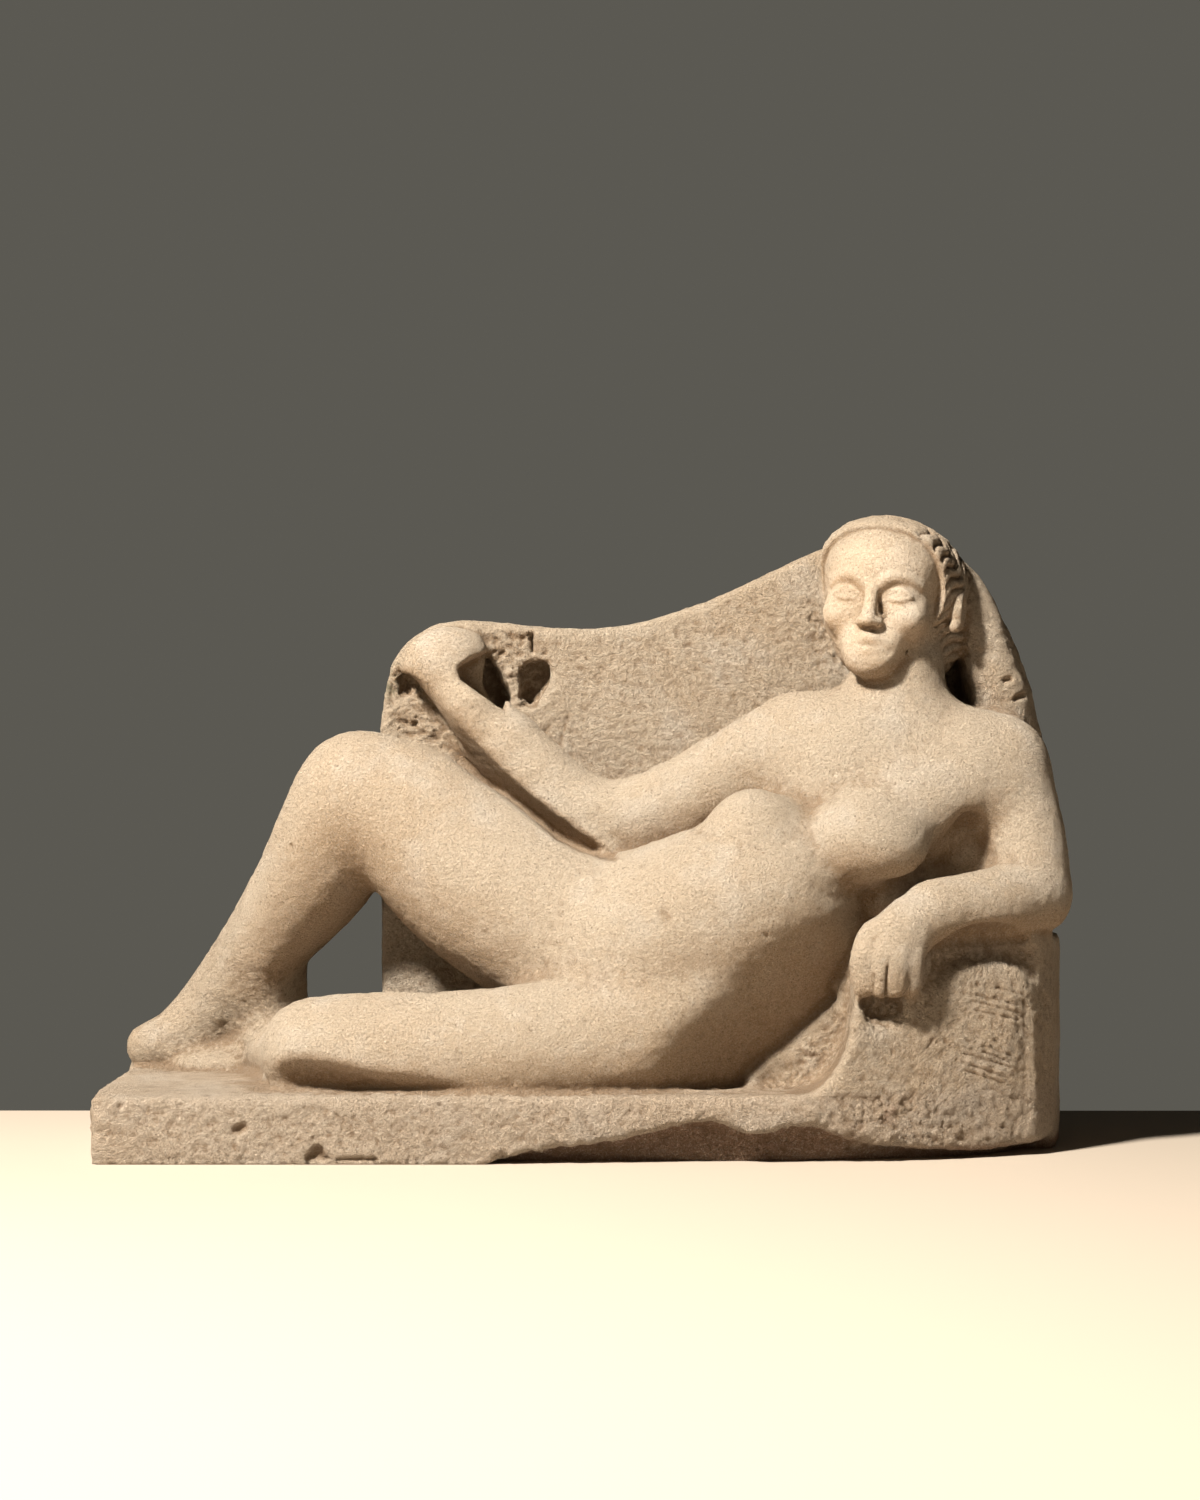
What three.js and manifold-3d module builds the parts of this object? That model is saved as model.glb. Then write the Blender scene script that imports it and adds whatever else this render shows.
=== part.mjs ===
// A reclining woman carved from one block of pale limestone, in millimetres, +Z up.
// She lies on a low base, head to the right and one knee raised, in front of a slab left from the block.
// Her left forearm rests on an arm block, and her right hand on the slab's low corner.
// X runs towards her head, Y runs back from the front face, and the origin is under the middle of the base.
import * as THREE from 'three';
import { SimplifyModifier } from 'three/addons/modifiers/SimplifyModifier.js';
import { mergeVertices } from 'three/addons/utils/BufferGeometryUtils.js';
import Module from 'manifold-3d';

// Driving dimensions of the block
const FRONT = -85;
const BACK = 85;
const LEFT = -214;
const RIGHT = 212;
const BASE_HEIGHT = 29;
const SLAB_FRONT = 30;
const SLAB_LEFT = -96;
const ARM_BLOCK_LEFT = 115;
const ARM_BLOCK_HEIGHT = 94;
const FILLING_FRONT = -44;
const HOLLOW_DEPTH = 13;
const BREAK_DEPTH = 14;
const LEAN_TURN = 20;
const CLEAR_HEIGHT = 300;

// Grid step for the rounded masses, how often each crossing is halved, and how near it comes to a grid point
const CELL = 4.2;
const HALVINGS = 9;
const NEAREST = 0.004;
const TRIANGLES = 9800;
const STONE_COLOUR = 0xe3cfae;

// The rounded masses are signed distances in millimetres, negative inside the stone.
// Each maker below returns a function of x, y and z.

// A limb that swells or thins evenly from one joint to the next.
function limb([ax, ay, az], fromRadius, [bx, by, bz], toRadius) {
  const dx = bx - ax;
  const dy = by - ay;
  const dz = bz - az;
  const lengthSq = dx * dx + dy * dy + dz * dz;
  const taper = fromRadius - toRadius;
  const lean = taper / Math.sqrt(lengthSq);
  const straight = Math.sqrt(1 - lean * lean);
  return (x, y, z) => {
    const px = x - ax;
    const py = y - ay;
    const pz = z - az;
    const along = (px * dx + py * dy + pz * dz) / lengthSq;
    const out = Math.hypot(px - along * dx, py - along * dy, pz - along * dz);
    const shifted = along + (out * lean) / straight / Math.sqrt(lengthSq);
    const t = THREE.MathUtils.clamp(shifted, 0, 1);
    return Math.hypot(px - t * dx, py - t * dy, pz - t * dz) - (fromRadius - t * taper);
  };
}

// A rounded mass, such as a breast or the belly, turned by degrees about X, Y and Z.
function mass([cx, cy, cz], [rx, ry, rz], turns = [0, 0, 0]) {
  const turn = new THREE.Euler(...turns.map(THREE.MathUtils.degToRad));
  const e = new THREE.Matrix4().makeRotationFromEuler(turn).elements;
  return (x, y, z) => {
    const px = x - cx;
    const py = y - cy;
    const pz = z - cz;
    const u = (e[0] * px + e[1] * py + e[2] * pz) / rx;
    const v = (e[4] * px + e[5] * py + e[6] * pz) / ry;
    const w = (e[8] * px + e[9] * py + e[10] * pz) / rz;
    const reach = Math.hypot(u, v, w);
    return (reach * (reach - 1)) / Math.max(Math.hypot(u / rx, v / ry, w / rz), 1e-6);
  };
}

// Joins solids with a soft fillet of the given width.
function blend(width, ...solids) {
  return (x, y, z) => {
    let d = solids[0](x, y, z);
    for (let i = 1; i < solids.length; i++) {
      const other = solids[i](x, y, z);
      const h = Math.max(width - Math.abs(d - other), 0) / width;
      d = Math.min(d, other) - h * h * width * 0.25;
    }
    return d;
  };
}

// Takes a tool's shape out of a solid and rounds the rim.
function carve(width, solid, tool) {
  return (x, y, z) => {
    const d = solid(x, y, z);
    const cut = -tool(x, y, z);
    const h = Math.max(width - Math.abs(d - cut), 0) / width;
    return Math.max(d, cut) + h * h * width * 0.25;
  };
}

// A chain of limbs through joints that are given as [radius, x, y, z].
function chain(width, ...joints) {
  const links = joints.slice(1).map(([radius, ...at], i) => {
    const [fromRadius, ...from] = joints[i];
    return limb(from, fromRadius, at, radius);
  });
  return blend(width, ...links);
}

// The same joints moved back and down, for the stone that is left between a limb and the slab.
const backed = (joints, back, down, thinner) =>
  joints.map(([radius, x, y, z]) => [radius - thinner, x, y + back, z - down]);

// The torso leans back from the hips to the shoulders.
const shoulders = chain(10, [20, 92, -2, 179], [24, 138, -6, 176], [21, 183, -12, 170]);
const ribs = mass([120, -6, 152], [46, 36, 46], [0, 48, 0]);
const belly = chain(20, [42, 20, -28, 86], [38, 58, -34, 104], [31, 86, -36, 118]);
const hip = chain(20, [41, 44, -24, 54], [35, 88, -20, 97]);
const underArm = limb([124, -40, 140], 17, [166, -20, 160], 21);
const flank = limb([136, -27, 112], 16, [158, -12, 118], 13);
const breastRight = mass([72, -43, 142], [20, 19, 18]);
const breastLeft = mass([123, -48, 137], [25, 19, 18], [0, 14, 0]);
const backing = chain(12, [30, 20, 16, 84], [32, 70, 22, 120], [32, 130, 20, 142], [26, 172, 18, 130]);
const waistFold = chain(6, [5, 97, -67, 122], [9, 114, -66, 108], [12, 134, -66, 104]);
const torso = carve(
  8,
  blend(9, blend(16, ribs, shoulders, underArm, belly, hip), flank, backing, breastRight, breastLeft),
  waistFold,
);

// Her right leg is raised, and the left one lies folded on the base.
const thighJoints = [
  [38, 4, -12, 88],
  [37, -46, -1, 117],
  [31, -80, 5, 145],
  [25.5, -105, 8, 160],
];
const legRaised = blend(
  8,
  chain(16, ...thighJoints),
  chain(8, ...backed(thighJoints.slice(0, 3), 22, 0, 8)),
  chain(
    10,
    [25, -106, 8, 160],
    [26, -112, 11, 146],
    [24.5, -125, 24, 120],
    [19, -147, 42, 92],
    [18, -163, 54, 70],
    [15, -178, 60, 54],
    [11, -195, 61, 41],
    [9.5, -207, 61, 38],
  ),
  chain(8, [17, -150, 52, 74], [16, -149, 60, 46]),
);
const legLying = blend(
  12,
  chain(12, [31, 44, -42, 55], [24, -40, -55, 46.5], [23, -120, -52, 45]),
  limb([-112, -28, 42], 17, [-50, 0, 36], 11),
  limb([-150, 46, 38], 13, [-122, -22, 34], 15),
);

// The arms end in hands without separate fingers at this size.
const armRightJoints = [
  [19, 92, -2, 180],
  [16, 10, 8, 145],
  [12.5, -48, 15, 189],
];
const underForearm = limb([0, -6, 132], 9, [-56, 1, 177], 9);
const armRight = blend(
  6,
  carve(5, blend(6, chain(8, ...armRightJoints), chain(8, ...backed(armRightJoints, 16, 7, 1))), underForearm),
  chain(6, [12.5, -49, 15, 193], [14, -66, 21, 215], [10, -54, 21, 224.5]),
);
const armLeft = blend(
  6,
  chain(8, [20, 183, -12, 170], [16.5, 193, -22, 138], [16, 196, -28, 112]),
  chain(8, [16, 196, -28, 112], [14.5, 176, -44, 109], [12, 150, -58, 107]),
  chain(6, [12, 150, -58, 107], [15, 131.5, -67, 97], [14, 129, -69.5, 86], [13, 129, -70, 80.5]),
);

// The neck rises from between the shoulders.
const neck = chain(8, [21, 138, -4, 186], [19, 138, -4, 222]);

// The head is turned a little to her right. It is built facing straight along -Y and then set on the neck.
const HEAD_CENTRE = [134.5, -8, 247];
const HEAD_TURN = [0, 4, -17];
function placed(solid, [cx, cy, cz], turns) {
  const turn = new THREE.Euler(...turns.map(THREE.MathUtils.degToRad));
  const e = new THREE.Matrix4().makeRotationFromEuler(turn).elements;
  return (x, y, z) => {
    const px = x - cx;
    const py = y - cy;
    const pz = z - cz;
    return solid(
      e[0] * px + e[1] * py + e[2] * pz,
      e[4] * px + e[5] * py + e[6] * pz,
      e[8] * px + e[9] * py + e[10] * pz,
    );
  };
}
const both = (make) => [make(-1), make(1)];
const skull = mass([0, 4, 4], [30, 34, 29]);
const face = blend(10, mass([0, -10, -8], [25, 26, 27]), mass([0, -14, -24], [16, 16, 12]));
const nose = limb([0, -33, 0], 2.5, [0, -37, -12], 4);
const hair = carve(3, blend(8, mass([0, 7, 4], [32, 36, 31]), mass([0, 14, -16], [29, 22, 28])),
  mass([0, -46, -14], [40, 40, 36]));
const headSolid = blend(
  4,
  blend(8, skull, face),
  nose,
  hair,
  ...both((side) => mass([side * 31, 2, -6], [4, 6, 9])),
);
const sockets = blend(3, ...both((side) => mass([side * 12, -36, 0], [9, 6, 5])));
const head = placed(carve(5, headSolid, sockets), HEAD_CENTRE, HEAD_TURN);

const figure = blend(
  6,
  blend(10, blend(12, torso, legRaised, legLying, neck), armRight, armLeft),
  head,
);

// Meshes where the distance is zero. Each cube of the grid is cut into six tetrahedra round its long
// diagonal, and the surface crosses each of those in one triangle or one square.
function surfaceOf(distance, low, high, cell) {
  const size = low.map((from, axis) => Math.ceil((high[axis] - from) / cell) + 1);
  const strides = [1, size[0], size[0] * size[1]];
  const at = (i, j, k) => i + j * strides[1] + k * strides[2];
  const place = (n) => {
    const k = Math.floor(n / strides[2]);
    const j = Math.floor(n / strides[1]) % size[1];
    return new THREE.Vector3(low[0] + (n % size[0]) * cell, low[1] + j * cell, low[2] + k * cell);
  };
  const field = new Float32Array(size[0] * size[1] * size[2]);
  field.forEach((_, n) => {
    const { x, y, z } = place(n);
    field[n] = distance(x, y, z);
  });

  // Where the surface cuts the line between two grid points, kept a little off both ends
  const meeting = (a, b) => {
    const from = place(a);
    const to = place(b);
    const point = new THREE.Vector3();
    const inside = field[a] < 0;
    let near = 0;
    let far = 1;
    for (let pass = 0; pass < HALVINGS; pass++) {
      const middle = (near + far) / 2;
      point.lerpVectors(from, to, middle);
      if (distance(point.x, point.y, point.z) < 0 === inside) near = middle;
      else far = middle;
    }
    return from.lerp(to, THREE.MathUtils.clamp(near, NEAREST, 1 - NEAREST));
  };

  const vertices = [];
  const known = new Map();
  const crossing = (a, b) => {
    const key = Math.min(a, b) * field.length + Math.max(a, b);
    if (!known.has(key)) known.set(key, vertices.push(meeting(a, b)) - 1);
    return known.get(key);
  };

  const index = [];
  const side = new THREE.Vector3();
  const other = new THREE.Vector3();
  const addTriangle = (ring, outward) => {
    const [p, q, r] = ring.map((n) => vertices[n]);
    const faces = side.subVectors(q, p).cross(other.subVectors(r, p)).dot(outward) > 0;
    index.push(...(faces ? ring : ring.reverse()));
  };
  const turns = [1, 3, 2, 6, 4, 5, 1].map((c) => at(-(c & 1), (c >> 1) & 1, c >> 2));
  const across = at(-1, 1, 1);
  for (let k = 0; k < size[2] - 1; k++)
    for (let j = 0; j < size[1] - 1; j++)
      for (let i = 1; i < size[0]; i++)
        for (let turn = 0; turn < 6; turn++) {
          const here = at(i, j, k);
          const corners = [here, here + turns[turn], here + turns[turn + 1], here + across];
          const inside = corners.filter((n) => field[n] < 0);
          const outside = corners.filter((n) => field[n] >= 0);
          if (inside.length === 0 || outside.length === 0) continue;
          const outward = place(outside[0]).sub(place(inside[0]));
          if (inside.length === 2) {
            const [p, q] = inside;
            const [r, s] = outside;
            outward.add(place(s)).sub(place(q));
            addTriangle([crossing(p, r), crossing(p, s), crossing(q, s)], outward);
            addTriangle([crossing(p, r), crossing(q, s), crossing(q, r)], outward);
          } else {
            const ring = inside.flatMap((n) => outside.map((m) => crossing(n, m)));
            addTriangle(ring, outward);
          }
        }
  const geometry = new THREE.BufferGeometry().setFromPoints(vertices);
  geometry.setIndex(index);
  return geometry;
}

const wasm = await Module();
wasm.setup();

function solidOf(geometry) {
  const bare = geometry.clone();
  bare.deleteAttribute('normal');
  bare.deleteAttribute('uv');
  const merged = mergeVertices(bare);
  const vertProperties = merged.attributes.position.array;
  const triVerts = new Uint32Array(merged.index.array);
  return new wasm.Manifold(new wasm.Mesh({ numProp: 3, vertProperties, triVerts }));
}

function geometryOf(solid) {
  const mesh = solid.getMesh();
  const geometry = new THREE.BufferGeometry();
  geometry.setAttribute('position', new THREE.BufferAttribute(mesh.vertProperties, 3));
  geometry.setIndex(new THREE.BufferAttribute(mesh.triVerts, 1));
  geometry.computeVertexNormals();
  return geometry;
}

// A solid with a front outline in X and Z, from one depth back to another.
function standing(outline, from, to) {
  const geometry = new THREE.ExtrudeGeometry(outline, { depth: to - from, bevelEnabled: false });
  geometry.rotateX(Math.PI / 2);
  geometry.translate(0, to, 0);
  return solidOf(geometry);
}

// A solid with a side outline in Y and Z, from one X to another, turned about +Z and then moved in the plan.
function crosswise(outline, from, to, turn, [x, y]) {
  const geometry = new THREE.ExtrudeGeometry(outline, { depth: to - from, bevelEnabled: false });
  geometry.rotateX(Math.PI / 2);
  geometry.rotateZ(Math.PI / 2);
  geometry.translate(from, 0, 0);
  geometry.rotateZ(THREE.MathUtils.degToRad(turn));
  geometry.translate(x, y, 0);
  return solidOf(geometry);
}

// The block's plan: square at the left, turned back below her left arm, and well rounded at the right.
// An inset gives a smaller plan inside it.
function planOf(inset) {
  const plan = new THREE.Shape();
  plan.moveTo(LEFT + 3 + inset, FRONT + inset);
  plan.lineTo(ARM_BLOCK_LEFT - 30, FRONT + inset);
  plan.quadraticCurveTo(ARM_BLOCK_LEFT, FRONT + 2 + inset, 150, FRONT + 16 + inset);
  plan.lineTo(176, FRONT + 27 + inset);
  plan.quadraticCurveTo(RIGHT - 14 - inset, FRONT + 36 + inset, RIGHT - 6 - inset, -22);
  plan.lineTo(RIGHT - inset, 8);
  plan.lineTo(RIGHT - 2 - inset, BACK - 22);
  plan.quadraticCurveTo(RIGHT - 4 - inset, BACK - inset, RIGHT - 26, BACK - inset);
  plan.lineTo(LEFT + 14, BACK - inset);
  plan.quadraticCurveTo(LEFT + inset, BACK - inset, LEFT - 2 + inset, BACK - 14);
  plan.lineTo(LEFT + inset, FRONT + 4 + inset);
  plan.closePath();
  return solidOf(new THREE.ExtrudeGeometry(plan, { depth: CLEAR_HEIGHT, bevelEnabled: false }));
}

// The base and the arm block, with a hollow curve between them.
const stand = new THREE.Shape();
stand.moveTo(LEFT - 20, 0);
stand.lineTo(RIGHT + 20, 0);
stand.lineTo(RIGHT + 20, ARM_BLOCK_HEIGHT);
stand.lineTo(ARM_BLOCK_LEFT + 8, ARM_BLOCK_HEIGHT);
stand.quadraticCurveTo(ARM_BLOCK_LEFT, ARM_BLOCK_HEIGHT - 2, ARM_BLOCK_LEFT - 1, ARM_BLOCK_HEIGHT - 14);
stand.quadraticCurveTo(ARM_BLOCK_LEFT - 3, BASE_HEIGHT + 8, ARM_BLOCK_LEFT - 22, BASE_HEIGHT);
stand.lineTo(LEFT - 20, BASE_HEIGHT);
stand.closePath();

// The slab's skyline dips from her hand and rises behind her head.
const skyline = [
  [SLAB_LEFT, 0],
  [SLAB_LEFT - 1, 190],
  [-93, 214],
  [-82, 229],
  [-62, 236.5],
  [-20, 233],
  [14, 233.5],
  [50, 244],
  [80, 257],
  [108, 270],
  [140, 277],
  [168, 268],
  [188, 240],
  [202, 205],
  [211, 160],
  [213, 100],
  [213, 0],
].map(([x, z]) => new THREE.Vector2(x, z));
const slab = new THREE.Shape();
slab.moveTo(skyline[0].x, skyline[0].y);
slab.lineTo(skyline[1].x, skyline[1].y);
slab.splineThru(skyline.slice(2, -1));
slab.lineTo(skyline.at(-1).x, skyline.at(-1).y);
slab.closePath();

// Two hollows chiselled in the slab beside her right hand, as corners in X and Z
const hollows = [
  [[-62, 221], [-50, 223], [-40, 205], [-35, 192], [-50, 203], [-62, 212]],
  [[-32, 217], [-18, 217], [-20, 204], [-27, 196], [-32, 200]],
].map((corners) => {
  const outline = new THREE.Shape(corners.map(([x, z]) => new THREE.Vector2(x, z)));
  return standing(outline, SLAB_FRONT - 1, SLAB_FRONT + HOLLOW_DEPTH);
});

// The broken lower edge along the front of the base
const brokenEdge = new THREE.Shape();
brokenEdge.moveTo(-48, -5);
brokenEdge.splineThru(
  [
    [-40, 2],
    [-10, 7],
    [12, 10],
    [34, 15],
    [52, 18],
    [70, 12],
    [92, 16],
    [112, 9],
    [140, 5],
    [170, 3],
    [200, 6],
  ].map(([x, z]) => new THREE.Vector2(x, z)),
);
brokenEdge.lineTo(240, -5);
brokenEdge.closePath();

// The arm block's face leans back above the base, which leaves her arm and hand standing out from it.
const lean = new THREE.Shape();
lean.moveTo(-30, BASE_HEIGHT);
lean.lineTo(0, BASE_HEIGHT);
lean.lineTo(1, BASE_HEIGHT + 20);
lean.lineTo(6, ARM_BLOCK_HEIGHT + 5);
lean.lineTo(-30, ARM_BLOCK_HEIGHT + 5);
lean.closePath();
const leanAway = crosswise(lean, -40, 120, LEAN_TURN, [ARM_BLOCK_LEFT, FRONT + 4]);

// Stone that was left between her hip and the arm block
const filling = new THREE.Shape();
filling.moveTo(40, BASE_HEIGHT - 5);
filling.lineTo(ARM_BLOCK_LEFT + 10, BASE_HEIGHT - 5);
filling.lineTo(ARM_BLOCK_LEFT + 10, 90);
filling.lineTo(96, 90);
filling.closePath();

const block = standing(stand, FRONT - 1, BACK + 1)
  .add(standing(filling, FILLING_FRONT, SLAB_FRONT + 1))
  .add(standing(slab, SLAB_FRONT, BACK + 1))
  .subtract(hollows[0])
  .subtract(hollows[1])
  .intersect(planOf(0))
  .subtract(leanAway);
const low = [LEFT - 12, FRONT - 14, BASE_HEIGHT - 20];
const high = [RIGHT + 14, BACK - 2, CLEAR_HEIGHT];
const body = solidOf(surfaceOf(figure, low, high, CELL));
const cut = standing(brokenEdge, FRONT - 5, FRONT + 60).subtract(planOf(BREAK_DEPTH));

// Keeps the outer body and drops any space closed in behind her
const parts = block.add(body).subtract(cut).decompose();
const carving = parts.reduce((most, next) => (next.volume() > most.volume() ? next : most));

// Flat and evenly curved stretches need fewer, larger triangles than the surface starts with.
const fine = geometryOf(carving);
fine.deleteAttribute('normal');
const share = 1 - TRIANGLES / (fine.index.count / 3);
const dropped = Math.floor(fine.attributes.position.count * share);
const geometry = await new SimplifyModifier().modify(fine, dropped);
geometry.computeVertexNormals();
geometry.computeBoundingBox();
const bounds = geometry.boundingBox;
geometry.translate(-(bounds.min.x + bounds.max.x) / 2, -(bounds.min.y + bounds.max.y) / 2, -bounds.min.z);

const stone = new THREE.MeshStandardMaterial({ color: STONE_COLOUR, roughness: 0.95, metalness: 0 });
const woman = new THREE.Mesh(geometry, stone);
woman.name = 'reclining_woman';
const carvedFigure = new THREE.Group();
carvedFigure.add(woman);

export default carvedFigure;
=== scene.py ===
import math

import bmesh
import bpy
import numpy as np
from mathutils import Euler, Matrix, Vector


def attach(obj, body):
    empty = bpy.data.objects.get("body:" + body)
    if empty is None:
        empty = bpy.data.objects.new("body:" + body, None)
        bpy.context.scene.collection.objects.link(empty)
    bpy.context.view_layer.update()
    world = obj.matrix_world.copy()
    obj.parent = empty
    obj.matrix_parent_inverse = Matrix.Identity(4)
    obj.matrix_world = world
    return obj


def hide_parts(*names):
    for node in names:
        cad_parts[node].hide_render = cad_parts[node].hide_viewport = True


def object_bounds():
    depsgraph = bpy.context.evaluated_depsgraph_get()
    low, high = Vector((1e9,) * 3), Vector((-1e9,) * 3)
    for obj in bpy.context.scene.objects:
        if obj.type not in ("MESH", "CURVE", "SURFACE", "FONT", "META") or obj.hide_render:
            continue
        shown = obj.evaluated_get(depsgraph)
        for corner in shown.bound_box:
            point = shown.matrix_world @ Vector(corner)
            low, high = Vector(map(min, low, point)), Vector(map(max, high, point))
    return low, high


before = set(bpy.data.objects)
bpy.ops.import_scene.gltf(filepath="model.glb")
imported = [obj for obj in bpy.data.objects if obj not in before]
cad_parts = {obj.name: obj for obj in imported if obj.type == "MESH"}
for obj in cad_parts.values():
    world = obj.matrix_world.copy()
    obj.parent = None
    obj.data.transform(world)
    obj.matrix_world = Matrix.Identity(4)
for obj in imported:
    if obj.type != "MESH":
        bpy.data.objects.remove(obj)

cad_low, cad_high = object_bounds()

# The block of stone
# The carving is one block of pale limestone, squared up and then worked down from the front. Its plain
# model is merged and given an even skin here, and everything below is cut into that skin. Sizes are in
# millimetres: X from left to right, Y from the front to the back, Z up from the underside.
MM = 0.001
FIRST_SKIN = 1.8
FINE_SKIN = 1.25
LEFT_END = -216.0
SLAB_FRONT = 30.0
BASE_HEIGHT = 29.0
FRONT = -85.0
offset = np.array([cad_low.x / MM - LEFT_END, 0.0, 0.0], np.float32)


def settle(piece):
    graph = bpy.context.evaluated_depsgraph_get()
    rough_mesh = piece.data
    piece.data = bpy.data.meshes.new_from_object(piece.evaluated_get(graph))
    piece.modifiers.clear()
    bpy.data.meshes.remove(rough_mesh)


def read_points(mesh):
    flat = np.empty(len(mesh.vertices) * 3, np.float32)
    mesh.vertices.foreach_get("co", flat)
    return flat.reshape(-1, 3) / MM - offset


def read_normals(mesh):
    flat = np.empty(len(mesh.vertices) * 3, np.float32)
    mesh.vertex_normals.foreach_get("vector", flat)
    return flat.reshape(-1, 3)


def read_edges(mesh):
    flat = np.empty(len(mesh.edges) * 2, np.int32)
    mesh.edges.foreach_get("vertices", flat)
    return flat.reshape(-1, 2)


def write_points(mesh, points):
    mesh.vertices.foreach_set("co", ((points + offset) * MM).astype(np.float32).ravel())
    mesh.update()


# Draws each value towards the mean of its neighbours, as a rasp or rubbing stone evens a surface.
def evened(values, edges, amount, passes):
    first, second = edges.T
    count = len(values)
    shares = np.maximum(np.bincount(edges.ravel(), minlength=count), 1)
    columns = values.reshape(count, -1).astype(np.float64)
    for _ in range(passes):
        for axis in range(columns.shape[1]):
            column = columns[:, axis]
            total = np.bincount(first, column[second], count) + np.bincount(second, column[first], count)
            columns[:, axis] = column + amount * (total / shares - column)
    return columns.reshape(values.shape).astype(np.float32)


def refine(piece, wanted):
    shape = bmesh.new()
    shape.from_mesh(piece.data)
    shape.verts.ensure_lookup_table()
    edges = [edge for edge in shape.edges if wanted[edge.verts[0].index] and wanted[edge.verts[1].index]]
    bmesh.ops.subdivide_edges(shape, edges=edges, cuts=1, use_grid_fill=True)
    shape.to_mesh(piece.data)
    shape.free()


woman = bpy.data.objects.new("carved_woman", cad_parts["reclining_woman"].data.copy())
bpy.context.scene.collection.objects.link(woman)
block = bmesh.new()
block.from_mesh(woman.data)
bmesh.ops.remove_doubles(block, verts=block.verts, dist=0.001 * MM)
block.to_mesh(woman.data)
block.free()


def reskin(piece, step):
    skin = piece.modifiers.new("even skin", "REMESH")
    skin.mode = "VOXEL"
    skin.voxel_size = step * MM
    settle(piece)




# A convex tool or lump through balls that are given as (radius, x, y, z).
def lump(*balls):
    shape = bmesh.new()
    for radius, *centre in balls:
        new = bmesh.ops.create_icosphere(shape, subdivisions=3, radius=radius * MM)["verts"]
        bmesh.ops.translate(shape, verts=new, vec=(Vector(centre) + Vector(offset)) * MM)
    bmesh.ops.delete(shape, geom=shape.edges[:], context="EDGES_FACES")
    bmesh.ops.convex_hull(shape, input=shape.verts)
    inside = [vert for vert in shape.verts if not vert.link_faces]
    bmesh.ops.delete(shape, geom=inside, context="VERTS")
    mesh = bpy.data.meshes.new("lump")
    shape.to_mesh(mesh)
    shape.free()
    return mesh


def work_in(piece, meshes, operation):
    tools = []
    for mesh in meshes:
        tool = bpy.data.objects.new("tool", mesh)
        bpy.context.scene.collection.objects.link(tool)
        cut = piece.modifiers.new("cut", "BOOLEAN")
        cut.operation = operation
        cut.solver = "MANIFOLD"
        cut.object = tool
        tools.append(tool)
    settle(piece)
    for tool in tools:
        bpy.data.objects.remove(tool)
    for mesh in meshes:
        bpy.data.meshes.remove(mesh)


def add_on(piece, meshes):
    shape = bmesh.new()
    shape.from_mesh(piece.data)
    for mesh in meshes:
        shape.from_mesh(mesh)
        bpy.data.meshes.remove(mesh)
    shape.to_mesh(piece.data)
    shape.free()


def pairs(joints):
    return zip(joints, joints[1:])


# The deep cuts: the crease between her right forearm and thigh, two hollows beside her right hand, the
# undercut of her lying leg, the folds under her left breast, and the cove under her left forearm. The crease
# is given by X, the Z of its lower and upper lip, and the Y of its floor and of its upper lip; the hollow by
# the X, Z and floor Y of its corners.
CREASE = [
    (-78, 206, 208, 31, 16),
    (-71, 190, 201, 34, 11),
    (-62, 172, 191, 36, 6),
    (-52, 164, 181, 35, 4.5),
    (-41, 156.8, 169, 32, 3),
    (-33, 151.1, 161.5, 28, 1.5),
    (-24, 143.8, 153.5, 23, 0),
    (-15, 136.6, 146, 17, -1.5),
    (-5, 131.3, 138, 9, -3),
    (5, 128.5, 131.8, 1, -5),
    (12, 127.8, 128.8, -5, -8),
]
HAND_HOLLOW = [(-60.5, 213.5, 21), (-59, 208.6, 22), (-37, 192.6, 31), (-48, 221, 27)]
TIP_HOLLOW = [(5.2, -84, 11, 206.5), (5.2, -84, 34, 206.5)]
LEG_UNDERCUT = [
    (15, -136, -79, 28),
    (19, -127, -80.5, 25.5),
    (20, -115, -81.5, 22),
    (20, -94, -83.5, 17.5),
    (20, -57, -86, 12),
]
BREAST_FOLD = [
    (2.5, 99, -67, 118),
    (4.5, 113, -60, 111),
    (6, 128, -52, 112),
    (7, 146, -46, 122),
    (9, 160, -43, 131),
    (7, 167, -38, 143),
]
BLOCK_COVE = [
    (4, 146, -73, 60),
    (6, 148.5, -70, 75),
    (7.5, 154, -65, 86),
    (9, 165, -60.5, 92),
    (9, 180, -55.5, 92.5),
    (8, 191.5, -50, 88),
    (5, 198, -46, 77),
]
UNDER_FINGERS = [(115.5, 69.5, -66), (134.5, 69, -65), (132, 58, -71), (121.5, 58, -73)]
BLOCK_CORNER = [
    (3, 193.3, -47.3, 8),
    (3, 202.5, -25, 8),
    (3, 178, -53.5, 8),
    (3, 191.5, -43.5, 86),
    (3, 201, -24, 86),
    (3, 176, -49.5, 86),
]
FRONT_OF_CREASE = -30.0
FRONT_OF_HOLLOW = -20.0


def lip_to_lip(stations):
    for pair in pairs(stations):
        yield lump(*(ball for x, low, high, back, lip in pair for ball in (
            (1, x, FRONT_OF_CREASE, low + 1),
            (1, x, lip, high - 1),
            (1, x, back - 1, low + 1),
        )))


def kept_above(mesh, level):
    shape = bmesh.new()
    shape.from_mesh(mesh)
    geometry = shape.verts[:] + shape.edges[:] + shape.faces[:]
    cut = bmesh.ops.bisect_plane(
        shape, geom=geometry, plane_co=(0, 0, level * MM), plane_no=(0, 0, 1), clear_inner=True
    )
    rim = [item for item in cut["geom_cut"] if isinstance(item, bmesh.types.BMEdge)]
    bmesh.ops.contextual_create(shape, geom=rim)
    shape.to_mesh(mesh)
    shape.free()
    return mesh


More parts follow.
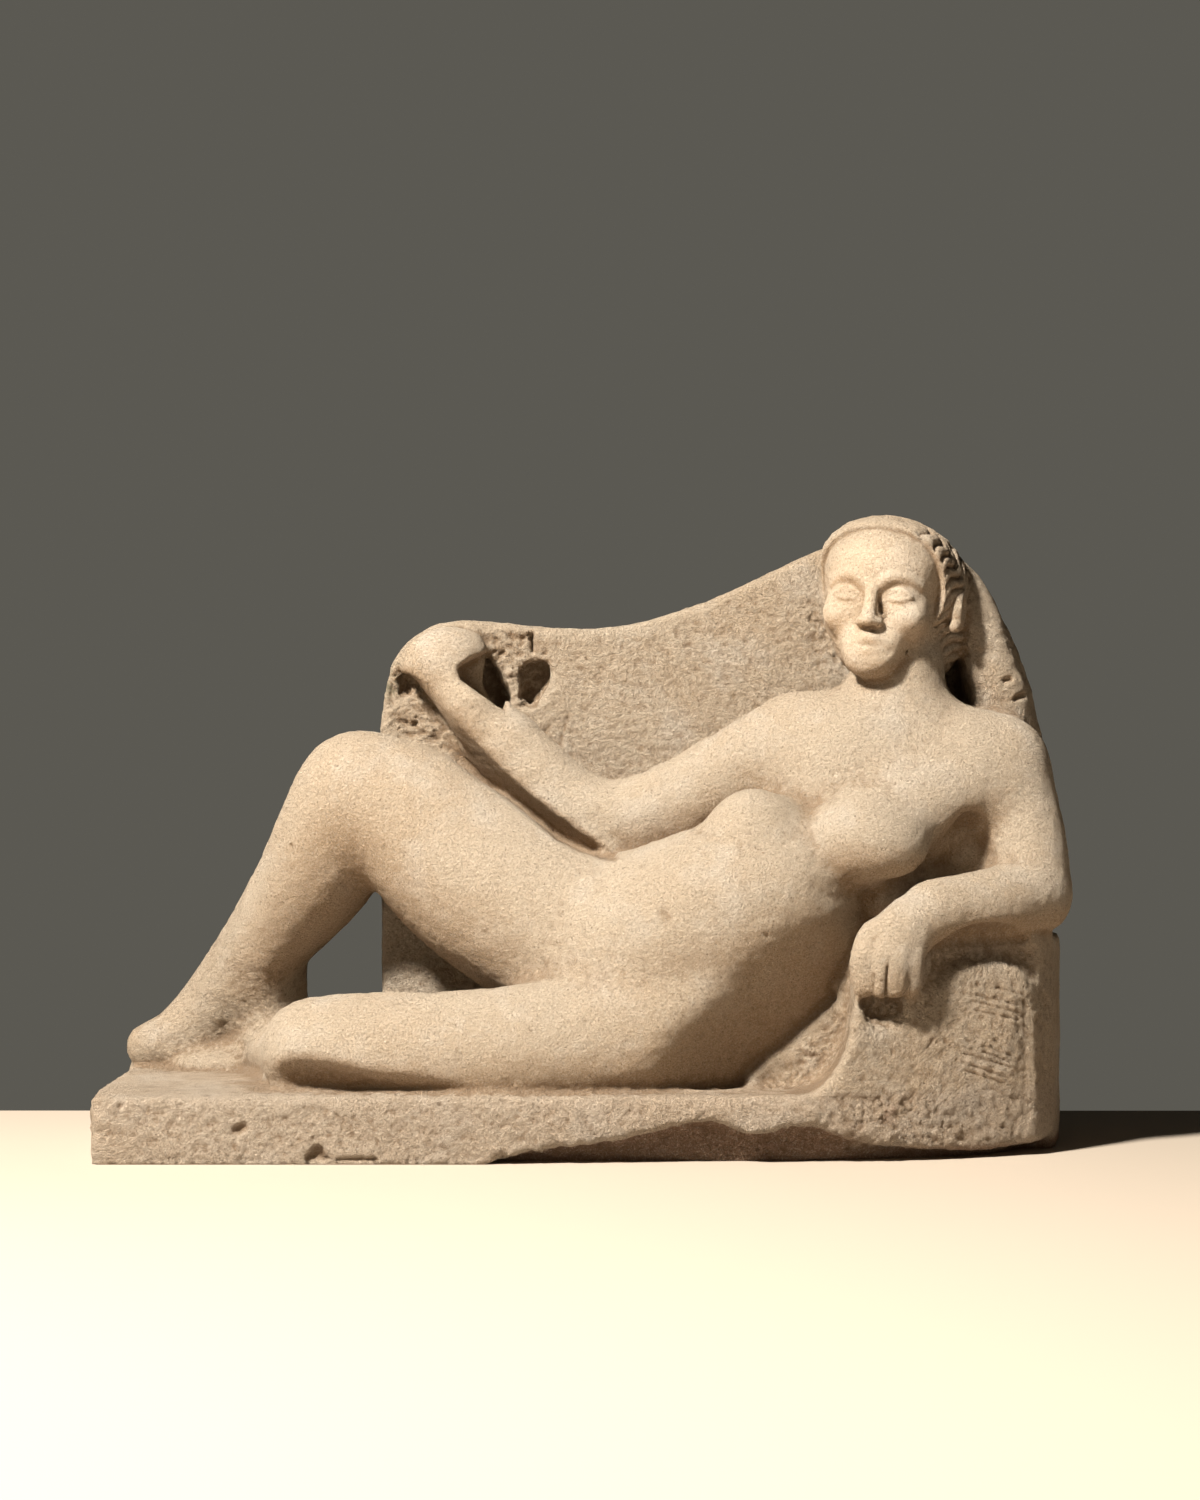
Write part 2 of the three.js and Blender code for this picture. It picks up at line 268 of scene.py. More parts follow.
deep_cuts = [
    *lip_to_lip(CREASE),
    lump(*((1, x, y, z) for x, z, back in HAND_HOLLOW for y in (FRONT_OF_HOLLOW, back - 1))),
    lump(*TIP_HOLLOW),
    *(kept_above(lump(a, b), BASE_HEIGHT) for a, b in pairs(LEG_UNDERCUT)),
    *(lump(a, b) for a, b in pairs(BREAST_FOLD)),
    *(lump(a, b) for a, b in pairs(BLOCK_COVE)),
    lump(*((1, x, y, z) for x, z, back in UNDER_FINGERS for y in (-86, back - 1))),
]
reskin(woman, FIRST_SKIN)
work_in(woman, [lump(*BLOCK_CORNER)], "UNION")
work_in(woman, deep_cuts, "DIFFERENCE")
# The slab stands further forward beside her head, and her forearm is whole above the cuts.
SLAB_RISE = [(5, 167.5, 8, 255), (7, 173.8, 5, 241), (8, 181, 4, 221), (8, 188.3, 4.5, 201), (6, 195, 8, 187)]
RISE_INSIDE = [(5, 166, 12, 253), (6, 173, 8, 239), (7, 177, 5, 221), (7, 178.5, 6, 205), (7, 180, 8, 190)]
FOREARM = [(13.5, 176, -44, 110), (11.5, 150, -58, 107.5)]
rise = [*pairs(SLAB_RISE), *pairs(RISE_INSIDE)]
add_on(woman, [lump(*pair, *((r, x, y + 24, z) for r, x, y, z in pair)) for pair in rise])
add_on(woman, [lump(*FOREARM)])
reskin(woman, FIRST_SKIN)

# The woman's masses
# Her body is roughed out in large rounded masses, limb by limb, and these are the masses that the block's
# plain model was cut with. A mass is the distance to its surface, negative inside the stone.
MARGIN = 24.0
STATIONS = 5


# Works a distance out only near the mass, and gives the rest the margin as a plain large distance.
def near_only(distance, low, high):
    def nearby(at):
        near = np.all((at > low - MARGIN) & (at < high + MARGIN), axis=1)
        d = np.full(len(at), MARGIN, np.float32)
        d[near] = np.minimum(distance(at[near]), MARGIN)
        return d

    return nearby


def limb(start, start_radius, end, end_radius):
    start = np.array(start, np.float32)
    run = np.array(end, np.float32) - start
    length = float(np.linalg.norm(run))
    taper = start_radius - end_radius
    lean = taper / length
    straight = math.sqrt(1 - lean * lean)

    def distance(at):
        from_start = at - start
        along = from_start @ run / length**2
        out = np.linalg.norm(from_start - along[:, None] * run, axis=1)
        t = np.clip(along + out * (lean / straight / length), 0, 1)
        return np.linalg.norm(from_start - t[:, None] * run, axis=1) - (start_radius - t * taper)

    reach = max(start_radius, end_radius)
    return near_only(distance, np.minimum(start, end) - reach, np.maximum(start, end) + reach)


def turned(turns):
    about_x, about_y, about_z = (np.array(Euler(turn).to_matrix(), np.float32) for turn in (
        (math.radians(turns[0]), 0, 0),
        (0, math.radians(turns[1]), 0),
        (0, 0, math.radians(turns[2])),
    ))
    return about_x @ about_y @ about_z


def mass(centre, radii, turns=(0, 0, 0)):
    centre = np.array(centre, np.float32)
    radii = np.array(radii, np.float32)
    turn = turned(turns)

    def distance(at):
        local = (at - centre) @ turn / radii
        reach = np.linalg.norm(local, axis=1)
        return reach * (reach - 1) / np.maximum(np.linalg.norm(local / radii, axis=1), 1e-6)

    return near_only(distance, centre - radii.max(), centre + radii.max())


def blend(width, *solids):
    def distance(at):
        d = solids[0](at)
        for solid in solids[1:]:
            other = solid(at)
            h = np.maximum(width - np.abs(d - other), 0) / width
            d = np.minimum(d, other) - h * h * (width * 0.25)
        return d

    return distance


def carve(width, solid, tool):
    def distance(at):
        d = solid(at)
        cut = -tool(at)
        h = np.maximum(width - np.abs(d - cut), 0) / width
        return np.maximum(d, cut) + h * h * (width * 0.25)

    return distance


# A run of limbs on one smooth curve through joints that are given as (radius, x, y, z). Its short lengths
# melt into each other, so that no ring shows where they meet.
def chain(fillet, *joints):
    knots = np.array(joints, np.float32)
    knots[:, 0] += fillet * 0.1
    ends = np.vstack([2 * knots[0] - knots[1], knots, 2 * knots[-1] - knots[-2]])
    stations = []
    for a, b, c, d in zip(ends, ends[1:], ends[2:], ends[3:]):
        for t in np.arange(STATIONS) / STATIONS:
            bend = (2 * a - 5 * b + 4 * c - d) * t**2 + (3 * b - a - 3 * c + d) * t**3
            stations.append((2 * b + (c - a) * t + bend) / 2)
    stations.append(knots[-1])
    melt = 0.1 * float(knots[:, 0].mean())
    lengths = []
    for a, b in zip(stations, stations[1:]):
        share = float(np.linalg.norm(b[1:] - a[1:])) / math.sqrt(math.tau * melt * float(a[0]))
        lengths.append((share, limb(a[1:], float(a[0]), b[1:], float(b[0]))))

    def distance(at):
        total = sum(share * np.exp(-length(at) / melt) for share, length in lengths)
        return -melt * np.log(np.maximum(total, 1e-9))

    low = np.min([station[1:] - station[0] for station in stations], axis=0)
    high = np.max([station[1:] + station[0] for station in stations], axis=0)
    return near_only(distance, low, high)


# A straight-sided hollow within corners that are given as (x, z, floor y), open to the front.
def hollow_within(corners):
    ring = np.array(corners, np.float32)
    middle = ring[:, :2].mean(axis=0)
    level = np.c_[ring[:, :2], np.ones(len(ring))]
    tilt = np.linalg.lstsq(level, ring[:, 2], rcond=None)[0].astype(np.float32)

    def distance(at):
        flat = at[:, [0, 2]]
        d = at[:, 1] - flat @ tilt[:2] - tilt[2]
        for a, b in zip(ring[:, :2], np.roll(ring[:, :2], -1, axis=0)):
            out = np.array((b[1] - a[1], a[0] - b[0]), np.float32)
            out *= np.sign(out @ (a - middle)) / np.linalg.norm(out)
            d = np.maximum(d, (flat - a) @ out)
        return d

    return distance


def backed(joints, back, down, thinner):
    return [(r - thinner, x, y + back, z - down) for r, x, y, z in joints]


def placed(solid, centre, turns):
    centre = np.array(centre, np.float32)
    turn = turned(turns)
    return lambda at: solid((at - centre) @ turn)


shoulders = chain(10, (20, 92, -2, 179), (24, 138, -6, 176), (21, 183, -12, 170))
ribs = mass((120, -6, 152), (46, 36, 46), (0, 48, 0))
belly = chain(20, (42, 20, -28, 86), (38, 58, -34, 104), (31, 86, -36, 118))
hip = chain(20, (41, 44, -24, 54), (35, 88, -20, 97))
under_arm = limb((124, -40, 140), 17, (166, -20, 160), 21)
flank = limb((136, -27, 112), 16, (158, -12, 118), 13)
breast_right = mass((72, -41, 142), (19.5, 18, 17.5))
breast_left = mass((123, -48, 137), (25, 19, 18), (0, 14, 0))
backing = chain(12, (30, 20, 16, 84), (32, 70, 22, 120), (32, 130, 20, 142), (26, 172, 18, 130))
armpit = mass((166, -15, 130), (15, 14, 18))
breast_fold = chain(3, *BREAST_FOLD)
hip_side = mass((194, -252.3, -53.2), (260, 260, 260))
torso = blend(9, blend(16, ribs, shoulders, under_arm, belly, hip), flank, backing, breast_right, breast_left)
torso = carve(4, blend(6, torso, armpit), breast_fold)
thigh_joints = [(38, 4, -12, 88), (37, -46, -1, 117), (31, -80, 5, 145), (25.5, -105, 8, 160)]
leg_raised = blend(
    8,
    chain(16, *thigh_joints),
    chain(8, *backed(thigh_joints[:3], 22, 0, 8)),
    chain(
        10,
        (25, -106, 8, 160),
        (26, -112, 11, 146),
        (24.5, -125, 24, 120),
        (19, -147, 42, 92),
        (18, -163, 54, 70),
        (15, -178, 60, 54),
        (11, -196, 59, 41),
        (10, -208, 58, 38.5),
    ),
    chain(8, (17, -150, 52, 74), (16, -149, 60, 46)),
)
leg_lying = blend(
    12,
    chain(12, (31, 44, -42, 55), (24, -40, -55, 46.5), (23, -120, -52, 45)),
    limb((-112, -28, 42), 17, (-50, 0, 36), 11),
    limb((-150, 46, 38), 13, (-122, -22, 34), 15),
)
leg_undercut = chain(2, *LEG_UNDERCUT)
leg_lying = carve(5, leg_lying, leg_undercut)
arm_right_joints = [(19, 92, -2, 180), (16, 10, 8, 145), (12.5, -48, 15, 189)]
arm_right = blend(6, chain(8, *arm_right_joints), chain(8, *backed(arm_right_joints, 16, 7, 1)))
arm_left = blend(
    6,
    chain(8, (20, 183, -12, 170), (16.5, 193, -22, 138), (16, 196, -28, 112)),
    chain(8, (16, 196, -28, 112), (14.5, 176, -44, 109), (12, 150, -58, 107)),
)
neck = chain(8, (21, 138, -4, 186), (19, 138, -4, 222))
trunk = blend(12, carve(7, blend(12, torso, leg_lying), hip_side), leg_raised, neck)

# Her hands, feet and the softer forms
# The hand on the arm block has four fingers hanging over its edge, and the one on the slab is a closed
# mitten with the thumb beneath. Both are cut with a small flat chisel after the body is roughed out.
fingers_left = blend(
    2.6,
    chain(3, (6.5, 122, -68, 97), (5.6, 117.5, -74.5, 87), (5.0, 117.3, -75.5, 75.5)),
    chain(3, (6.0, 129, -70, 97), (5.2, 125, -77.5, 86), (4.2, 124.6, -78, 74.5)),
    chain(3, (6.0, 134, -69, 97), (5.2, 131.5, -77, 86), (4.2, 131.2, -77.5, 74.5)),
    chain(3, (6.0, 140, -66, 98), (5.2, 137.8, -73.5, 87), (4.4, 137.6, -74, 75.5)),
)
hand_left = blend(
    5,
    chain(6, (12, 150, -58, 107), (11.5, 135, -66, 99), (9, 129, -67, 92)),
    chain(5, (9, 129, -66, 90), (7.5, 128.5, -67, 78)),
    fingers_left,
)
hand_right = blend(
    7,
    chain(6, (12.5, -49, 15, 190), (13, -58, 18, 203), (12, -66, 22, 212)),
    mass((-67, 24, 218), (20.5, 16, 14.5), (0, -15, 0)),
    mass((-54, 11, 199), (11.5, 10, 8.5), (0, -38, 0)),
)
hand_hollow = hollow_within(HAND_HOLLOW)
tip_hollow = limb(TIP_HOLLOW[0][1:], TIP_HOLLOW[0][0], TIP_HOLLOW[1][1:], TIP_HOLLOW[1][0])
crease_run, *crease_levels = np.array(CREASE, np.float32).T


# The crease between her forearm and thigh: a step down behind the thigh, and from its floor a slope forward
# to the forearm's lower edge.
def arm_crease(at):
    x, y, z = at.T
    low, high, back, lip = (np.interp(x, crease_run, level).astype(np.float32) for level in crease_levels)
    steepness = np.interp(x, crease_run, np.gradient(crease_levels[0], crease_run))
    lean = (1 / np.hypot(1, steepness)).astype(np.float32)
    under_slope = z - low - (high - low) * (back - y) / (back - lip)
    beyond_ends = np.maximum(crease_run[0] - x, x - crease_run[-1])
    return np.maximum.reduce([(low - z) * lean, under_slope * lean * 0.85, y - back, beyond_ends])


heel_lying = limb((-133, -26, 30), 12, (-112, -30, 30), 13)
ankle_bank = mass((-170, 56, 30), (26, 24, 10))
block_cove = chain(2, *BLOCK_COVE)
slab_rise = blend(8, *(
    chain(6, *((r, x, y + deeper, z) for r, x, y, z in row)) for row in (SLAB_RISE, RISE_INSIDE) for deeper in (0, 11, 22)
))
lying_right = carve(1.5, carve(1.5, blend(10, trunk, blend(5, arm_right, hand_right)), hand_hollow), arm_crease)
body = blend(
    8,
    carve(1.5, lying_right, tip_hollow),
    carve(2, blend(6, arm_left, hand_left), block_cove),
    heel_lying,
    ankle_bank,
    slab_rise,
)

# Her head
# The head is turned a little to her right and looks out calmly. The face is finished with care, with plain
# lids, a straight nose and closed lips. The hair is drawn back as a smooth cap, and at the sides it is cut
# in short wavy locks. The head is built facing straight along -Y about its own centre.
HEAD_CENTRE = np.array((133, -3, 246), np.float32)
HEAD_TURN = (0, 4, -17)
HEAD_REACH = 50
HEAD_SHRINK = 0.25
BROW = 4.5
EYE_LEVEL = -1.5
NOSE_BASE = -15.0
MOUTH_LEVEL = -23.0
EYE_OUT = 11.5


def both(make):
    return [make(-1), make(1)]


skull = mass((0, 4, 4), (29, 33, 30))
forehead = mass((0, -11, 14), (24, 19.5, 18))
jaws = both(lambda side: limb((side * 17.5, -4, -14), 8.5, (side * 5, -21, -28.5), 6.5))
cheeks = both(lambda side: mass((side * 13.5, -19.5, -10), (10, 9.5, 9)))
muzzle = mass((0, -22.5, -22), (12.5, 9, 9.5))
chin = mass((0, -24, -31.5), (8.5, 7, 5.5))
sockets = blend(3, *both(lambda side: mass((side * EYE_OUT, -36, EYE_LEVEL + 0.8), (8.0, 7.4, 4.8))))
brows = both(lambda side: chain(
    3,
    (1.2, side * 19.5, -21.4, BROW - 0.5),
    (1.7, side * 13.5, -26.4, BROW + 2.8),
    (1.7, side * 7.5, -28.8, BROW + 2.4),
    (1.6, side * 2.6, -29.2, BROW - 1.5),
))
eyeballs = both(lambda side: mass((side * EYE_OUT, -22.6, EYE_LEVEL), (6.8, 6.4, 5.0)))


# A lid follows the eyeball from its inner to its outer corner, and bows by the given height.
def lid(side, bow, radius):
    joints = []
    for step in (-1.0, -0.55, 0.0, 0.55, 1.0):
        across = step * 5.6
        height = bow * (1 - step * step)
        deep = 6.4 * math.sqrt(max(1 - (across / 6.8) ** 2 - (height / 5.0) ** 2, 0.05))
        joints.append((radius, side * (EYE_OUT + across), -22.6 - deep, EYE_LEVEL + height))
    return chain(1, *joints)


lids = [lid(side, bow, radius) for side in (-1, 1) for bow, radius in ((2.9, 0.85), (-1.9, 0.6))]
nose = blend(
    2.5,
    chain(2, (2.2, 0, -29.2, BROW - 0.5), (2.4, 0, -31.8, -6), (3.0, 0, -33.8, NOSE_BASE + 2.8)),
    *both(lambda side: mass((side * 3.6, -30.6, NOSE_BASE + 1.6), (2.4, 3.6, 2.1))),
)
nostrils = blend(1, *both(lambda side: mass((side * 2.1, -32.2, NOSE_BASE - 1.1), (1.1, 2.0, 1.1))))
lips = blend(
    0.8,
    chain(
        1.5,
        (0.9, -8.6, -28.0, MOUTH_LEVEL + 0.1),
        (2.2, -2.2, -31.1, MOUTH_LEVEL + 1.9),
        (2.2, 2.2, -31.1, MOUTH_LEVEL + 1.9),
        (0.9, 8.6, -28.0, MOUTH_LEVEL + 0.1),
    ),
    chain(
        1.5,
        (0.9, -7.8, -28.2, MOUTH_LEVEL - 0.7),
        (2.6, 0, -30.6, MOUTH_LEVEL - 2.9),
        (0.9, 7.8, -28.2, MOUTH_LEVEL - 0.7),
    ),
)


# An ear is a curled rim round a hollow, with a small lobe.
def ear(side):
    rim = []
    for angle in range(-60, 241, 50):
        turn = math.radians(angle)
        rim.append((1.7, side * 34.0, -1.0 + 4.2 * math.cos(turn), -4.5 + 6.6 * math.sin(turn)))
    shell = mass((side * 32, -1.5, -5), (2.6, 4.6, 7.0))
    return blend(1.2, chain(1.5, *rim), mass((side * 33, -4.0, -12.2), (2.4, 2.8, 3.2)), shell)


face = blend(
    2.5,
    carve(4, blend(7, blend(9, skull, forehead), *jaws, *cheeks, muzzle, chin), sockets),
    *brows,
)
face = blend(0.8, blend(2.2, face, *eyeballs), *lids)
face = carve(1, blend(2.2, face, nose), nostrils)
face = blend(1.6, face, lips)
hair_cap = blend(
    6,
    mass((1.5, 7, 4.5), (34, 35.5, 30.6)),
    mass((0, -10, 15.2), (28.5, 21.5, 19.8)),
    mass((3, 15, -14), (31, 21, 28)),
)
hairline = mass((0, -50, -6), (58, 44, 44))
hair = carve(0.9, hair_cap, hairline)
head_form = blend(1.0, blend(0.8, face, hair), ear(1))
head = placed(head_form, HEAD_CENTRE, HEAD_TURN)
carved_form = blend(3, body, head)


# Moves points on to the form along their normals.
def cut_to(form, mesh, chosen, reach, passes):
    for _ in range(passes):
        points = read_points(mesh)
        normals = read_normals(mesh)
        step = np.clip(form(points[chosen]), -reach, reach)
        points[chosen] -= (0.9 * step)[:, None] * normals[chosen]
        write_points(mesh, points)


# The same for fine work: points move straight down the form's own slope.
def cut_finely(form, mesh, chosen, reach, passes):
    for _ in range(passes):
        points = read_points(mesh)
        distance = form(points[chosen])
        slope = slope_of(form, points[chosen], distance)
        points[chosen] -= (0.9 * np.clip(distance, -reach, reach))[:, None] * slope
        write_points(mesh, points)


def slope_of(form, at, distance):
    steps = np.eye(3, dtype=np.float32) * 0.3
    slope = np.stack([form(at + step) - distance for step in steps], axis=1)
    return slope / np.maximum(np.linalg.norm(slope, axis=1), 1e-6)[:, None]


HIP_SIDE = (72, -54, 54)


# Finds the points that belong to her, where the skin runs along the form or lies inside it.
def hers(form, mesh, nearness):
    points = read_points(mesh)
    distance = form(points)
    on_hip = (np.linalg.norm(points - HIP_SIDE, axis=1) < 46) & (points[:, 0] < points[:, 2] + 38)
    chosen = np.flatnonzero(distance < np.where(on_hip, 2.6 * nearness, nearness))
    slope = slope_of(form, points[chosen], distance[chosen])
    along = np.einsum("ij,ij->i", slope, read_normals(mesh)[chosen])
    return chosen[(along > 0.72) | (distance[chosen] < -0.3)]


def work_over(form, piece, nearness, rounds):
    mesh = piece.data
    edges = read_edges(mesh)
    chosen = hers(form, mesh, nearness)
    amount = np.full(len(mesh.vertices), 0.4)
    amount[chosen] = 0.6
    amount[read_points(mesh)[:, 2] < 1.0] = 0
    for _ in range(rounds):
        points = read_points(mesh)
        points += amount[:, None] * (evened(points, edges, 1.0, 1) - points)
        write_points(mesh, points)
        cut_to(form, mesh, chosen, 3.0, 2)
    return chosen


# The block's old head is taken down, and a ball in its place is cut to the new head's form from outside.
points = read_points(woman.data)
from_centre = points - HEAD_CENTRE
old_head = (np.linalg.norm(from_centre, axis=1) < HEAD_REACH) & (points[:, 1] < SLAB_FRONT - 1.0)
old_head &= slab_rise(points) > 3
shrink = HEAD_SHRINK * np.clip((points[:, 2] - 212) / 12, 0, 1) * old_head
write_points(woman.data, points - shrink[:, None] * from_centre)
ball = bmesh.new()
bmesh.ops.create_icosphere(ball, subdivisions=6, radius=1.0)
rays = np.array([vertex.co for vertex in ball.verts], np.float32)
out = np.full(len(rays), HEAD_REACH, np.float32)
for _ in range(40):
    out -= 0.7 * head_form(rays * out[:, None])
onto = (rays * out[:, None]) @ turned(HEAD_TURN).T + HEAD_CENTRE + offset
for vertex, place in zip(ball.verts, onto * MM):
    vertex.co = place
block = bmesh.new()
block.from_mesh(woman.data)
ball_mesh = bpy.data.meshes.new("head ball")
ball.to_mesh(ball_mesh)
ball.free()
block.from_mesh(ball_mesh)
block.to_mesh(woman.data)
block.free()
bpy.data.meshes.remove(ball_mesh)

work_over(carved_form, woman, 5.0, 2)
reskin(woman, FINE_SKIN)
points = read_points(woman.data)
in_face = np.linalg.norm(points - HEAD_CENTRE, axis=1) < 42
in_hand = (points[:, 1] < -58) & (np.abs(points[:, 0] - 130) < 24) & (np.abs(points[:, 2] - 86) < 24)
at_strokes = (points[:, 1] < -40) & (np.abs(points[:, 0] - 181) < 18) & (np.abs(points[:, 2] - 56) < 32)
refine(woman, (in_face & (points[:, 1] < 22)) | in_hand | at_strokes)
work_over(carved_form, woman, 2.0, 2)
points = read_points(woman.data)
in_face = np.linalg.norm(points - HEAD_CENTRE, axis=1) < 42
fine = np.flatnonzero(in_face & (points[:, 1] < 22) & (np.abs(carved_form(points)) < 2))
cut_finely(carved_form, woman.data, fine, 0.6, 3)


# How hollow (positive) or sharp (negative) the skin is at each point, in millimetres over its neighbours.
def hollowness(points, normals, edges, passes):
    return np.einsum("ij,ij->i", evened(points, edges, 0.6, passes) - points, normals)


edges = read_edges(woman.data)
points = read_points(woman.data)
creased = hollowness(points, read_normals(woman.data), edges, 3)
in_face = np.linalg.norm(points - HEAD_CENTRE, axis=1) < 42
fill = np.clip(creased / 0.25, 0, 1) * ~in_face * (points[:, 2] > 1)
fill = np.clip(evened(fill, edges, 0.6, 2) * 1.6, 0, 0.7)
for _ in range(6):
    points += fill[:, None] * (evened(points, edges, 1.0, 1) - points)
write_points(woman.data, points)

# Cuts, breaks and tool marks
# The figure is finished with a point and a flat chisel, the slab and block are left rougher, and the lower
# edge of the base is broken away in front. Cuts are laid out in the front drawing, which is taken at Y = 0
# from straight in front: each is a depth, a width and a line, and works only within a range of Y.
VIEW_DISTANCE = 1575.0
EYE = np.array((4.4, 176.7), np.float32)


def drawing_of(points):
    return EYE + (points[:, [0, 2]] - EYE) * (VIEW_DISTANCE / (VIEW_DISTANCE + points[:, 1]))[:, None]


def distance_to_line(at, path):
    best = np.full(len(at), 1e3, np.float32)
    for a, b in zip(path, path[1:]):
        run = b - a
        t = np.clip((at - a) @ run / max(float(run @ run), 1e-6), 0, 1)
        best = np.minimum(best, np.linalg.norm(at - a - t[:, None] * run, axis=1))
    return best


def line_cut(drawing, width, path):
    path = np.array(path if len(path) > 1 else path * 2, np.float32)
    near = np.flatnonzero(np.all((drawing > path.min(0) - width) & (drawing < path.max(0) + width), axis=1))
    share = np.minimum(distance_to_line(drawing[near], path) / width, 1)
    cut = np.zeros(len(drawing), np.float32)
    cut[near] = (1 - share**2) ** 2
    return cut


def patch(drawing, soft, corners):
    path = np.array([*corners, corners[0]], np.float32)
    near = np.flatnonzero(np.all((drawing > path.min(0) - soft) & (drawing < path.max(0) + soft), axis=1))
    at = drawing[near]
    inside = np.zeros(len(near), bool)
    for a, b in zip(path, path[1:]):
        rises = (a[1] > at[:, 1]) != (b[1] > at[:, 1])
        crossing = a[0] + (at[:, 1] - a[1]) * (b[0] - a[0]) / ((b[1] - a[1]) or 1e-6)
        inside ^= rises & (at[:, 0] < crossing)
    away = distance_to_line(at, path) * np.where(inside, -1, 1)
    cover = np.zeros(len(drawing), np.float32)
    cover[near] = np.clip(0.5 - away / soft, 0, 1)
    return cover


chance = np.random.default_rng(11)
CELLS = 32
lattice = chance.random((CELLS, CELLS, CELLS), np.float32) * 2 - 1
centres = chance.random((CELLS, CELLS, CELLS, 3), np.float32)
tilts = chance.random((CELLS, CELLS, CELLS, 4), np.float32) * 2 - 1


# Soft uneven ground between -1 and 1, with swells of the given size.
def swells(points, size):
    at = points / size
    cell = np.floor(at).astype(np.int32)
    part = at - cell
    part = part * part * (3 - 2 * part)
    total = np.zeros(len(points), np.float32)
    for corner in np.ndindex(2, 2, 2):
        index = tuple(((cell + corner) % CELLS).T)
        total += lattice[index] * np.prod(np.where(corner, part, 1 - part), axis=1)
    return total


# Broken ground: each piece of the given size is a small flat facet with its own tilt and height.
def facets(points, size):
    at = points / size
    cell = np.floor(at).astype(np.int32)
    nearest = np.full(len(points), 9.0, np.float32)
    height = np.zeros(len(points), np.float32)
    for step in np.ndindex(3, 3, 3):
        index = tuple(((cell + step - 1) % CELLS).T)
        away = at - (cell + step - 1 + centres[index])
        distance = np.einsum("ij,ij->i", away, away)
        closer = distance < nearest
        tilt = tilts[index]
        here = np.einsum("ij,ij->i", away, tilt[:, :3]) * 1.3 + tilt[:, 3] * 0.5
        height = np.where(closer, here, height)
        nearest = np.where(closer, distance, nearest)
    return height


# Small round pits: a few of the cells hold one, and the rest are smooth.
def pits(points, size, share):
    at = points / size
    cell = np.floor(at).astype(np.int32)
    index = tuple((cell % CELLS).T)
    centre = 0.3 + 0.4 * centres[index]
    away = np.linalg.norm(at - cell - centre, axis=1)
    holds = (tilts[index][:, 3] + 1) / 2 < share
    return holds * np.clip(1 - (away / 0.28) ** 2, 0, 1)


def ramp(value, low, high):
    return np.clip((value - low) / (high - low), 0, 1)


edges = read_edges(woman.data)
points = read_points(woman.data)
normals = read_normals(woman.data)
drawing = drawing_of(points)
x, y, z = points.T
facing = ramp(-normals[:, 1], -0.2, 0.25)
on_rise = ramp(1.8 - np.abs(slab_rise(points)), 0, 1) * (body(points) > -1)
on_slab = np.maximum(y > SLAB_FRONT - 7, on_rise) * facing
on_woman = (y < SLAB_FRONT - 3) * facing
on_block = (y < -20) * facing
depth = np.zeros(len(points), np.float32)

SLAB_CUTS = (
    (4.5, 1.5, ((-26.5, 229.5), (-26, 221))),
    (0.9, 0.9, ((-10, 192), (-13, 181))),
    (0.6, 0.8, ((-18, 188), (-22, 184))),
    (0.8, 1.4, ((-8, 178),)),
    (2.5, 1.6, ((-85.5, 189.5), (-78.5, 188.5))),
    (2.2, 2.0, ((191.5, 199.5), (195, 201))),
    (1.6, 1.8, ((186.5, 208), (189.5, 208.5))),
    (1.0, 1.0, ((169.5, 247), (168.5, 244))),
)
WOMAN_CUTS = (
    (0.9, 4.0, ((33, 103.5), (34.5, 101.5))),
    (0.9, 1.2, ((79.5, 93.5),)),
    (2.5, 1.7, ((110, 278.5), (110, 275.5))),
    (1.5, 1.1, ((134, 79.5), (133, 63.5))),
    (0.6, 1.0, ((127.5, 76), (126.5, 64))),
    (0.5, 1.0, ((139.5, 77), (139, 65))),
)
BLOCK_CUTS = (
    (0.9, 1.0, ((119, 50.5),)),
    (0.9, 1.0, ((124, 50.5),)),
    (1.2, 1.2, ((179.5, 7.5),)),
    (1.2, 1.2, ((186, 7.5),)),
    (2.4, 3.4, ((-159.5, 5), (-156, 7))),
    (1.0, 1.2, ((-106, 11.5),)),
    (4.0, 4.5, ((-125, -8.5), (-122.5, -4), (-120, -8.5))),
    (1.8, 3.0, ((-112.5, -9), (-97.5, -8.5))),
)
for cuts, where in ((SLAB_CUTS, on_slab), (WOMAN_CUTS, on_woman), (BLOCK_CUTS, on_block)):
    for cut_depth, width, path in cuts:
        depth += cut_depth * line_cut(drawing, width, path) * where

# Rows of strokes from a claw chisel on the arm block's face, and a cluster of point marks beside them
STROKES = (
    ((183, 69.5), (194.5, 67), 1, (0, 0), 1.0),
    ((173.5, 66.5), (193.5, 61.5), 3, (0, -7), 1.0),
    ((192.5, 72.5), (193, 48), 2, (5, 0), 0.5),
    ((181, 56.5), (181, 50), 4, (5, 0), 0.6),
    ((173.5, 84.5), (173, 74), 6, (7, 0), 0.35),
    ((169, 72.5), (169, 57.5), 2, (7, 0), 0.35),
    ((177, 44), (190, 39.5), 2, (0, -7), 0.9),
    ((168.5, 46), (177, 43.5), 2, (0, -6), 0.7),
    ((165.5, 41), (189.5, 34), 1, (0, 0), 1.1),
    ((164.5, 37), (188.5, 29), 2, (0, -7), 1.0),
    ((181, 24.5), (191, 19.5), 1, (0, 0), 0.6),
)
POINT_MARKS = (157.5, 46)
for start, end, count, (aside, down), cut_depth in STROKES:
    for n in range(count):
        shift = np.array((aside, down)) * 0.45 * n
        waver = chance.random(4) - 0.5
        path = np.array((start, end)) + shift + waver.reshape(2, 2) * 0.9
        depth += 0.65 * cut_depth * line_cut(drawing, 0.95, list(path)) * on_block
